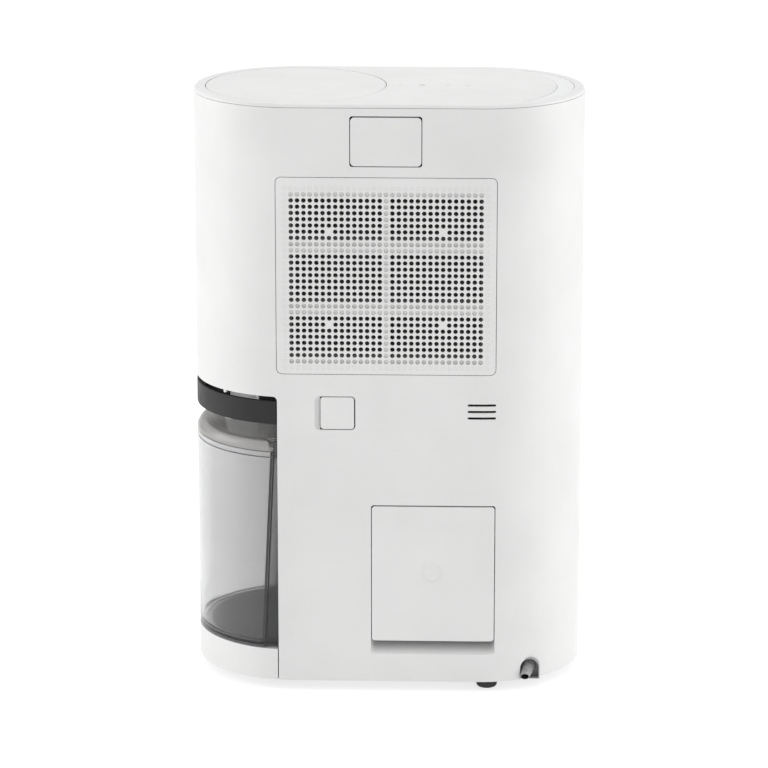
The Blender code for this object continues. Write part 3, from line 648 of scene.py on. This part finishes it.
def scoops():
    """The finger recesses of the cord door and of the drain cover."""
    cord = (CORD_DOOR[0] - PANEL_GAP, CORD_DOOR[1] + PANEL_GAP, CORD_DOOR[2] - CORD_SCOOP, CORD_DOOR[2] + 1)
    fit(scoop("cord_door_scoop", cord, 26, 1.25, "z"), "housing", WHITE, "housing_white")
    drain = (DRAIN_COVER[1] + GAP, DRAIN_COVER[1] + DRAIN_SCOOP, DRAIN_COVER[2] - PANEL_GAP,
             DRAIN_COVER[3] + PANEL_GAP)
    fit(scoop("drain_cover_scoop", drain, 3.5, 0.5, "x"), "housing", WHITE, "housing_white")


def bay_shade_sheets():
    """Black sheets over the handle, in three parts: painted shade for the shadow inside the bay."""
    for name, radius, start, end in BAY_SHADE_SHEETS:
        shade_outline = arc((HALF, 0), radius, start, end, 24) + arc((HALF, 0), radius - 2, end, start, 24)
        fit(prism(f"bay_shade_sheets_{name}", shade_outline, BAY_TOP - 12, BAY_TOP + 5), "housing", BLACK, "inner_black")


def lens_outline(grow):
    """A crescent: inside the outer circle at the -X end, and outside a larger, offset one."""
    outer = LENS_OUTER_R + grow
    inner = LENS_INNER_R - grow
    apart = LENS_INNER_X + HALF
    toward = (outer ** 2 - inner ** 2 + apart ** 2) / (2 * apart)
    half_height = math.sqrt(outer ** 2 - toward ** 2)
    outer_angle = math.degrees(math.atan2(half_height, toward))
    inner_angle = math.degrees(math.atan2(half_height, toward - apart))
    outer_side = arc((-HALF, 0), outer, outer_angle, 360 - outer_angle, 60)
    inner_side = arc((LENS_INNER_X, 0), inner, 360 - inner_angle, inner_angle, 60)
    return outer_side + inner_side[1:-1]


def top():
    """The top cover with its lens, the round outlet lid and the touch marks."""
    low = span("top_cover")[0].z
    edge = [(END_R, low)] + arc((END_R - TOP_EDGE_R, TOP_Z - TOP_EDGE_R), TOP_EDGE_R, 0, 90, 6)
    cover = loft("top_shell", [at(stadium(r), z) for r, z in edge])
    centre = (HALF, 0)
    outlet_r = OUTLET[1].y
    throat_r = outlet_r + 0.35
    rebate_r = outlet_r + PANEL_GAP
    rebate_z = TOP_Z - 1.1
    seat = [(throat_r, low - 5), (throat_r, rebate_z), (rebate_r, rebate_z), (rebate_r, TOP_Z + 5)]
    cut(cover, turned("outlet_seat", seat, centre, steps=ROUND),
        prism("lens_seat", lens_outline(GAP), low - 5, TOP_Z + 5))
    true_to_wall(fit(rounded(cover, 0.2, 2, 50), "housing", WHITE, "housing_white", "top_cover"))

    lens = prism("status_crescent", lens_outline(0), low, TOP_Z - 0.15)
    fit(rounded(lens, 0.3, 2, 50), "housing", LENS, "lens_white", "status_lens")

    lid_low = OUTLET[0].z
    lid = turned("air_lid", [(outlet_r - 0.8, lid_low), (outlet_r, lid_low + 0.8), (outlet_r, TOP_Z - 0.8),
                             (outlet_r - 0.25, TOP_Z - 0.25), (outlet_r - 0.8, TOP_Z)], centre, steps=ROUND)
    fit(lid, "outlet_lid", WHITE, "housing_white", "outlet_lid")

    for number, (x, radius) in enumerate(TOUCH_MARKS, 1):
        mark = turned(f"touch_mark_{number}", [(radius, TOP_Z - 0.5), (radius, TOP_Z + 0.02),
                                               (radius - 0.3, TOP_Z + 0.06)], (x, 0), steps=32)
        fit(mark, "housing", MARK, "housing_white")


def feet():
    for number in range(1, 5):
        low, high = span(f"foot_{number}")
        centre = ((low.x + high.x) / 2, (low.y + high.y) / 2)
        r = (high.x - low.x) / 2
        profile = [(r, high.z), (r, 3.2), (r - 0.4, 1.6), (r - 1.3, 0.5), (r - 2.4, 0), (r - 4.4, 0),
                   (r - 4.9, 0.7), (r - 5.5, 0.7), (r - 6, 0)]
        foot = turned(f"rubber_foot_{number}", profile, centre)
        fit(foot, "housing", RUBBER, "rubber_black", f"foot_{number}")


def boot():
    """The cord's strain relief: a bent, tapering boot with broken rings and an open mouth."""
    steps = 48
    root_x = (GLAND[0].x + GLAND[1].x) / 2 - 1.2
    root_z = (GLAND[0].z + GLAND[1].z) / 2 + 3.5

    def ring(t, radius_at):
        middle = (root_x + 5.6 * t ** 1.7, GLAND[0].y + 2 + 29 * t, root_z - 8.6 * t ** 1.7)
        tilt = 0.55 * t
        points = []
        for k in range(steps):
            angle = 2 * math.pi * k / steps
            u, v = radius_at(angle) * math.cos(angle), radius_at(angle) * math.sin(angle)
            points.append((middle[0] + u, middle[1] + v * math.sin(tilt), middle[2] + v * math.cos(tilt)))
        return points

    def ribbed(i, t):
        def radius(angle):
            bridge = math.cos(6 * angle + math.pi * (i // 4 % 2)) > 0.3
            in_groove = i % 4 < 2 and 0.1 < t < 0.88
            return 8.1 - 3.6 * t - (0.8 if in_groove and not bridge else 0)
        return radius

    rings = [ring(i / 64, ribbed(i, i / 64)) for i in range(65)]
    for t, r in ((1.01, 3.9), (1.0, 3.4), (0.8, 3.3), (0.5, 3.2)):
        rings.append(ring(t, lambda angle, r=r: r))
    piece = loft("cord_boot", rings)
    fit(piece, "housing", BOOT, "boot_grey", "cord_gland")
    piece.data.materials.append(BLACK)
    mouth = len(piece.data.polygons)
    for face in piece.data.polygons:
        inside = face.index >= mouth - 2 - 3 * steps and face.index != mouth - 2
        face.material_index = 1 if inside else 0


def boot_shroud():
    """The arched grey pocket that the boot leaves the housing through."""
    middle = (GLAND[0].x + GLAND[1].x) / 2
    front = wall_y(middle + ARCH_R) - 1.2

    def arch(radius, low):
        return arc((middle, ARCH_Z), radius, 0, 180, 24) + [(middle - radius, low), (middle + radius, low)]

    def ring(points, y):
        return [(x, y, z) for x, z in points]

    outer = arch(ARCH_R + 0.5, BASE_Z + 0.4)
    inner = arch(ARCH_R - 0.4, BASE_Z + 1.2)
    shell = loft("boot_shroud", [ring(outer, front - 13), ring(outer, front - 1), ring(inner, front - 1),
                                 ring(inner, front - 11)])
    fit(shell, "housing", BOOT, "boot_grey")


# ---- back panels ------------------------------------------------------------------------------------------

def wall_panel(name, panel, corner):
    """A panel that continues the wall's curve in a window of the back."""
    piece = wall_band(name, 1, END_R - WALL, panel[2] - 5, panel[3] + 5)
    return combine(piece, "INTERSECT", window(name + "_edge", panel, corner))


def hole_kind(column, row):
    """What a cell holds; the cells of the border, round the open columns and rows, have faint dimples."""
    if not 1 <= column <= OPEN_COLUMNS or not 1 <= row <= OPEN_ROWS:
        return "faint"
    if row in POST_ROWS and column in POST_COLUMNS:
        return "solid"
    if column == (OPEN_COLUMNS + 1) // 2 or row in SHALLOW_ROWS:
        return "shallow"
    return "half" if row in HALF_DEEP_ROWS else "open"


def perforated_field(name, centre_z):
    """The grille's field of round holes, one square cell to a hole, bent along the wall.

    reach is a hole's radius, or 0 for the outline of its cell.
    """
    columns = OPEN_COLUMNS + 2
    rows = OPEN_ROWS + 2
    work = bmesh.new()

    def ring(cx, cz, reach, depth):
        points = []
        for k in range(HOLE_SIDES):
            angle = 2 * math.pi * k / HOLE_SIDES
            u, v = math.cos(angle), math.sin(angle)
            if reach:
                x, z = cx + reach * u, cz + reach * v
            else:
                most = max(abs(u), abs(v))
                x, z = cx + PITCH_X / 2 * u / most, cz + PITCH_Z / 2 * v / most
            points.append(work.verts.new(Vector((x, wall_y(x) - depth, z)) * MM))
        return points

    def bridge(first, second):
        for i in range(HOLE_SIDES):
            j = (i + 1) % HOLE_SIDES
            work.faces.new((first[i], first[j], second[j], second[i]))

    for column in range(columns):
        for row in range(rows):
            cx = (columns - 1) / 2 * PITCH_X - column * PITCH_X
            cz = centre_z + (rows - 1) / 2 * PITCH_Z - row * PITCH_Z
            kind = hole_kind(column, row)
            front = ring(cx, cz, 0, 0)
            back = ring(cx, cz, 0, WALL)
            if kind == "solid":
                work.faces.new(front)
                work.faces.new(back[::-1])
            else:
                rim = ring(cx, cz, HOLE_R + HOLE_CHAMFER, 0)
                edge = ring(cx, cz, HOLE_R, HOLE_CHAMFER)
                foot = ring(cx, cz, HOLE_R - HOLE_TAPER, HOLE_DEPTHS.get(kind, WALL))
                bridge(front, rim)
                bridge(rim, edge)
                bridge(edge, foot)
                if kind == "open":
                    bridge(foot, back)
                else:
                    work.faces.new(foot)
                    work.faces.new(back[::-1])
            for side, outside in ((range(-2, 2), column == 0), (range(2, 6), row == 0),
                                  (range(6, 10), column == columns - 1), (range(10, 14), row == rows - 1)):
                for k in (side if outside else ()):
                    i, j = k % HOLE_SIDES, (k + 1) % HOLE_SIDES
                    work.faces.new((front[i], front[j], back[j], back[i]))
    bmesh.ops.remove_doubles(work, verts=work.verts, dist=0.00002)
    return as_object(name, work)


def grille():
    """The grille's plain frame and the perforated field in it."""
    middle_z = (GRILLE[2] + GRILLE[3]) / 2 - FIELD_DROP
    half_x = (OPEN_COLUMNS + 2) / 2 * PITCH_X
    half_z = (OPEN_ROWS + 2) / 2 * PITCH_Z
    panel = rounded(wall_panel("grille_panel", GRILLE, 5), 0.3, 2)
    hole = [(-half_x, middle_z - half_z), (half_x, middle_z - half_z), (half_x, middle_z + half_z),
            (-half_x, middle_z + half_z)]
    cut(panel, prism("field_hole", hole, END_R - 30, END_R + BEYOND, "y"))
    true_to_wall(fit(panel, "grille", WHITE, "housing_white", "rear_grille"))
    true_to_wall(fit(perforated_field("grille_field", middle_z), "grille", WHITE, "housing_white"))


def doors():
    for name, panel, corner, node in (("service_door", UPPER_DOOR, 4, "upper_door"),
                                      ("drain_flap", DRAIN_COVER, 3, "drain_cover"),
                                      ("cord_store_door", CORD_DOOR, 3, "cord_door")):
        door = rounded(wall_panel(name, panel, corner), 0.45)
        true_to_wall(fit(door, node, WHITE, "housing_white", node))


def standby_sign():
    """A raised generic standby symbol on the cord store's door: an open ring with a bar."""
    x, z = SIGN
    low = END_R - 0.2
    high = END_R + 0.3
    ring = arc((x, z), 9.4, 120, 420, 48) + arc((x, z), 8.4, 420, 120, 48)
    bar = rounded_rect(x - 0.5, x + 0.5, z + 2, z + 11, 0.45)
    parts = [prism("sign_ring", ring, low, high, "y"), prism("sign_bar", bar, low, high, "y")]
    fit(merged("standby_sign", parts), "cord_door", WHITE, "housing_white")


# ---- tank -------------------------------------------------------------------------------------------------

def tank():
    """The smoked tank with its lines and seals, and the white skirt under it."""
    floor = TANK[0].z
    rim = TANK[1].z

    def ring(inset, z):
        return at(tank_outline(inset, step_x_at(z)), z)

    rings = [ring(4, floor), ring(1.2, floor + 0.5), ring(0.3, floor + 1.6), ring(0, floor + 3.5)]
    rings += [ring(0, floor + (rim - floor) * share) for share in (0.25, 0.5, 0.75)]
    rings += [ring(0, rim - 4.6), ring(0, rim), ring(WALL, rim)]
    rings += [ring(WALL, floor + (rim - floor) * share) for share in (0.75, 0.5, 0.25)]
    rings += [ring(WALL, floor + 9), ring(WALL + 0.8, floor + 6), ring(WALL + 2.6, floor + 4),
              ring(WALL + 5.5, floor + 3.2), ring(WALL + 9, floor + 3)]
    body = true_to_wall(fit(loft("smoked_tank", rings), "tank", SMOKE, "tank_smoke", "tank_body"))
    # The walls behind the step get the darker smoke, as painted shade.
    body.data.materials.append(SHADED_SMOKE)
    for face in body.data.polygons:
        middle = face.center / MM
        behind_step = middle.x < step_x_at(middle.z) + 0.5 and abs(face.normal.z) < 0.5
        face.material_index = 1 if behind_step else 0

    # An opaque dark plate on the tank's floor, standing in for its look through the tinted walls: partly
    # painted shade.
    plate = prism("tank_floor_shade_plate", tank_outline(WALL + 9.5, step_x_at(floor)), floor + 3.05, floor + 3.5)
    fit(plate, "tank", FLOOR_SHADE, "tank_smoke")

    def band(name, low, high, inset):
        piece = loft(name, [ring(inset, low), ring(inset, high)])
        cut(piece, loft(name + "_hollow", [ring(inset + 1.2, low - 1), ring(inset + 1.2, high + 1)]))
        fit(piece, "tank", EDGE, "tank_smoke")

    band("tank_rim_line", rim - 5.4, rim - 4.6, -0.04)
    band("tank_foot_line", floor + 0.9, floor + 2.6, 0.15)

    for name, side in (("rear", 1), ("front", -1)):
        sides = []
        for z in (floor + 2, rim - 1):
            x = step_x_at(z)
            near, far = side * (SIDE_OF_TANK + 0.1), side * (wall_y(x) - 0.3)
            sides.append([(x - 1.3, near, z), (x - 0.1, near, z), (x - 0.1, far, z), (x - 1.3, far, z)])
        fit(loft(f"step_seal_{name}", sides), "tank", BLACK, "tank_smoke")

    top_z = SKIRT[1].z
    skirt = prism("white_skirt", end_arc(END_R, SKIRT[0].x), BASE_Z, top_z)
    cut(skirt, prism("skirt_hollow", end_arc(END_R - WALL, SKIRT[0].x - 10), 0, top_z - 2.7))
    true_to_wall(fit(rounded(skirt, 0.6, 3, 50), "tank", WHITE, "housing_white", "tank_skirt"))


def pin_bore(name):
    """A cutter for the hole that the handle's pins run in."""
    return turned(name, [(PIN_BORE_R, -95), (PIN_BORE_R, 95)], SWING_AXIS, "y", 24)


def lid():
    """The lid with its lugs, the dome on it and the seal under it; outlines are (inset, z)."""
    low = LID_LOW
    shoulder = [(0, low), (0, 240.2), (0.5, 241.2), (1.2, 242.6), (2.2, 244.2), (3.6, 245.8), (5.4, 246.9),
                (7.5, 247.5)]
    under = [(9, 245.2), (6.2, 244.4), (4.6, 243.2), (3.2, 240.5), (2.6, low)]
    rings = [at(tank_outline(inset, STEP_TOP_X), z) for inset, z in shoulder]
    inside = [at(tank_outline(inset, STEP_TOP_X), z) for inset, z in under]
    shell = loft("smoked_lid", rings)
    cut(shell, loft("lid_underside", [at(tank_outline(2.6, STEP_TOP_X), low - 5)] + inside[::-1]),
        prism("pour_hole", rounded_rect(*POUR_HOLE, 8), low - 20, low + 30),
        turned("inlet_hole", [(9, low - 20), (9, low + 30)], SPOUT, steps=32),
        prism("dome_hole", rounded_rect(DOME[0].x + 3, DOME[1].x - 3, DOME[0].y + 3, DOME[1].y - 3, 6),
              low - 20, low + 30))
    for side in (-1, 1):
        y = sorted((side * 80, side * 85.8))
        lug = block(f"handle_lug_{side}", (88, 102), y, (245.5, 256))
        join(shell, lug)
        cut(shell, pin_bore(f"lug_bore_{side}"))
        y = sorted((side * 8, side * 11.5))
        join(shell, block(f"float_lug_{side}", FLOAT_LUG, y, (227, 246)))
    fit(rounded(shell, 0.3, 2, 50), "tank", LID_SMOKE, "tank_smoke", "tank_lid")

    left, right = DOME[0].x, DOME[1].x
    near, far = DOME[0].y, DOME[1].y
    z = DOME[0].z
    tall = DOME[1].z - z
    rings = [at(rounded_rect(left + i, right - i, near + i, far - i, 9 - i / 2), z + tall * share)
             for i, share in ((0, 0), (0, 0.05), (1.0, 0.2), (4.2, 0.78), (5.2, 0.9), (6.4, 0.97), (8, 1))]
    fit(loft("lid_window", rings), "tank", DOME_SMOKE, "lens_white", "lid_dome")

    gasket = prism("lid_seal", tank_outline(0.4, STEP_TOP_X), TANK[1].z + 0.02, low - 0.02)
    cut(gasket, prism("seal_hollow", tank_outline(2.3, STEP_TOP_X), 200, 260))
    fit(gasket, "tank", BLACK, "tank_smoke")


def corner_clips():
    """The small hooks that hold the lid, at the tank's back and front corners."""
    for name, side in (("rear", 1), ("front", -1)):
        y = sorted((side * 88.2, side * 93.2))
        clip = block(f"clip_stem_{name}", (103.2, 106.2), y, (229.5, 246))
        nose = block(f"clip_nose_{name}", (105.8, 110.5), sorted((side * 90, side * 94.6)), (241.8, 245.4))
        fit(rounded(merged(f"lid_clip_{name}", [clip, nose]), 0.4, 2), "tank", EDGE, "tank_smoke")


def handle():
    """The bail: a band round the tank end, and an arm to the pin on each side."""
    path = end_arc(END_R, SKIRT[0].x) + end_arc(END_R - BAND_THICK, SKIRT[0].x)[::-1]
    band = prism("handle_band", path, BAND_LOW, HANDLE[1].z)
    eye = arc(SWING_AXIS, 6.5, 170, 350, 24)
    outline = eye + [(102.6, BAND_LOW + 0.2), (114, BAND_LOW + 0.2), (114, 285), (103.8, 285), (98, 268)]
    for side in (-1, 1):
        y = sorted((side * 86.2, side * 91.4))
        arm = cut(prism(f"handle_arm_{side}", outline, *y, "y"),
                  pin_bore(f"arm_bore_{side}"))
        join(band, settle(arm))
    true_to_wall(fit(rounded(band, 1.0, 3), "handle", CHARCOAL, "handle_charcoal", "tank_handle"))


# ---- CAD nodes that stay ----------------------------------------------------------------------------------

def dress_nodes():
    """Gives every CAD node that still shows its procedural material."""
    finishes = (
        (WHITE, ("cord_pocket", "drain_recess")),
        (GREY, ("base_pan", "tank_bay_liner", "upper_pocket", "outlet_duct", "drip_tray", "drain_spout",
                "fan_scroll", "filter_frame")),
        (BLACK, ("lid_motor", "fan_motor", "fan_wheel", "tank_full_switch", "humidity_sensor")),
        (CHARCOAL, ("outlet_vanes",)),
        (BOOT, ("drain_port",)),
        (FIN, ("evaporator", "condenser")),
        (ALUMINIUM, ("run_capacitor",)),
        (COPPER, ("discharge_pipe", "suction_pipe", "capillary_tube", "accumulator_pipe", "accumulator")),
        (STEEL, ("handle_pin_front", "handle_pin_rear", "float_pin", "float_magnet")),
        (ENAMEL, ("compressor",)),
        (RUBBER, tuple(f"compressor_mount_{i}" for i in (1, 2, 3))),
        (BOARD, ("touch_board", "control_board")),
        (NET, ("filter_mesh",)),
        (FOAM, ("tank_float",)),
    )
    for material, names in finishes:
        for name in names:
            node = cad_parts[name]
            node.data.materials.clear()
            node.data.materials.append(material)


# ---- studio -----------------------------------------------------------------------------------------------

# Metres and watts
CAMERA_AT = Vector((-0.111, 3.625, 1.268))
CAMERA_AIM = Vector((0.005, 0.0, 0.278))
LENS_MM = 183.3
WORLD_LIGHT = 0.95
SOFTBOXES = (                      # name, place, size, power
    ("left_softbox", (2.1, 0.1, 0.7), 1.6, 18),
    ("right_softbox", (-2.1, 0.1, 0.7), 1.6, 18),
    ("top_softbox", (0, -0.6, 2.6), 1.8, 13),
)
SOFTBOX_AIM = Vector((0, 0, 0.3))
FLOOR_GLOW = 0.72                  # keeps the floor as pale as the background
FLOOR_REACH = 9000                 # in millimetres, each way


def studio():
    """The camera at the photograph's angle, soft light and a plain pale floor."""
    scene = bpy.context.scene
    camera = bpy.data.objects.new("camera", bpy.data.cameras.new("camera"))
    scene.collection.objects.link(camera)
    camera.location = CAMERA_AT
    camera.rotation_euler = (CAMERA_AIM - CAMERA_AT).to_track_quat("-Z", "Y").to_euler()
    camera.data.lens = LENS_MM
    camera.data.clip_end = 50
    scene.camera = camera
    scene.view_settings.view_transform = "Standard"

    world = bpy.data.worlds.new("studio")
    world.use_nodes = True
    background = world.node_tree.nodes["Background"]
    background.inputs["Color"].default_value = (1, 1, 1, 1)
    background.inputs["Strength"].default_value = WORLD_LIGHT
    scene.world = world

    for name, place, size, power in SOFTBOXES:
        light = bpy.data.lights.new(name, "AREA")
        light.size = size
        light.energy = power
        lamp = bpy.data.objects.new(name, light)
        lamp.location = place
        lamp.rotation_euler = (SOFTBOX_AIM - lamp.location).to_track_quat("-Z", "Y").to_euler()
        scene.collection.objects.link(lamp)

    across = (-FLOOR_REACH, FLOOR_REACH)
    floor = block("studio_floor", across, across, (-10, -0.2))
    nodes = Nodes("studio_floor")
    nodes.link(nodes.mix(nodes.spread(nodes.noise(2), 0, 1), (0.39, 0.39, 0.39), (0.41, 0.41, 0.41)),
               nodes.shader.inputs["Base Color"])
    nodes.set(Roughness=0.9, Specular_IOR_Level=0.1)
    nodes.shader.inputs["Emission Color"].default_value = (1, 1, 1, 1)
    nodes.shader.inputs["Emission Strength"].default_value = FLOOR_GLOW
    floor.data.materials.append(nodes.material)


studio()
housing_shells()
scoops()
bay_shade_sheets()
top()
feet()
boot()
boot_shroud()
grille()
doors()
standby_sign()
tank()
lid()
corner_clips()
handle()
dress_nodes()
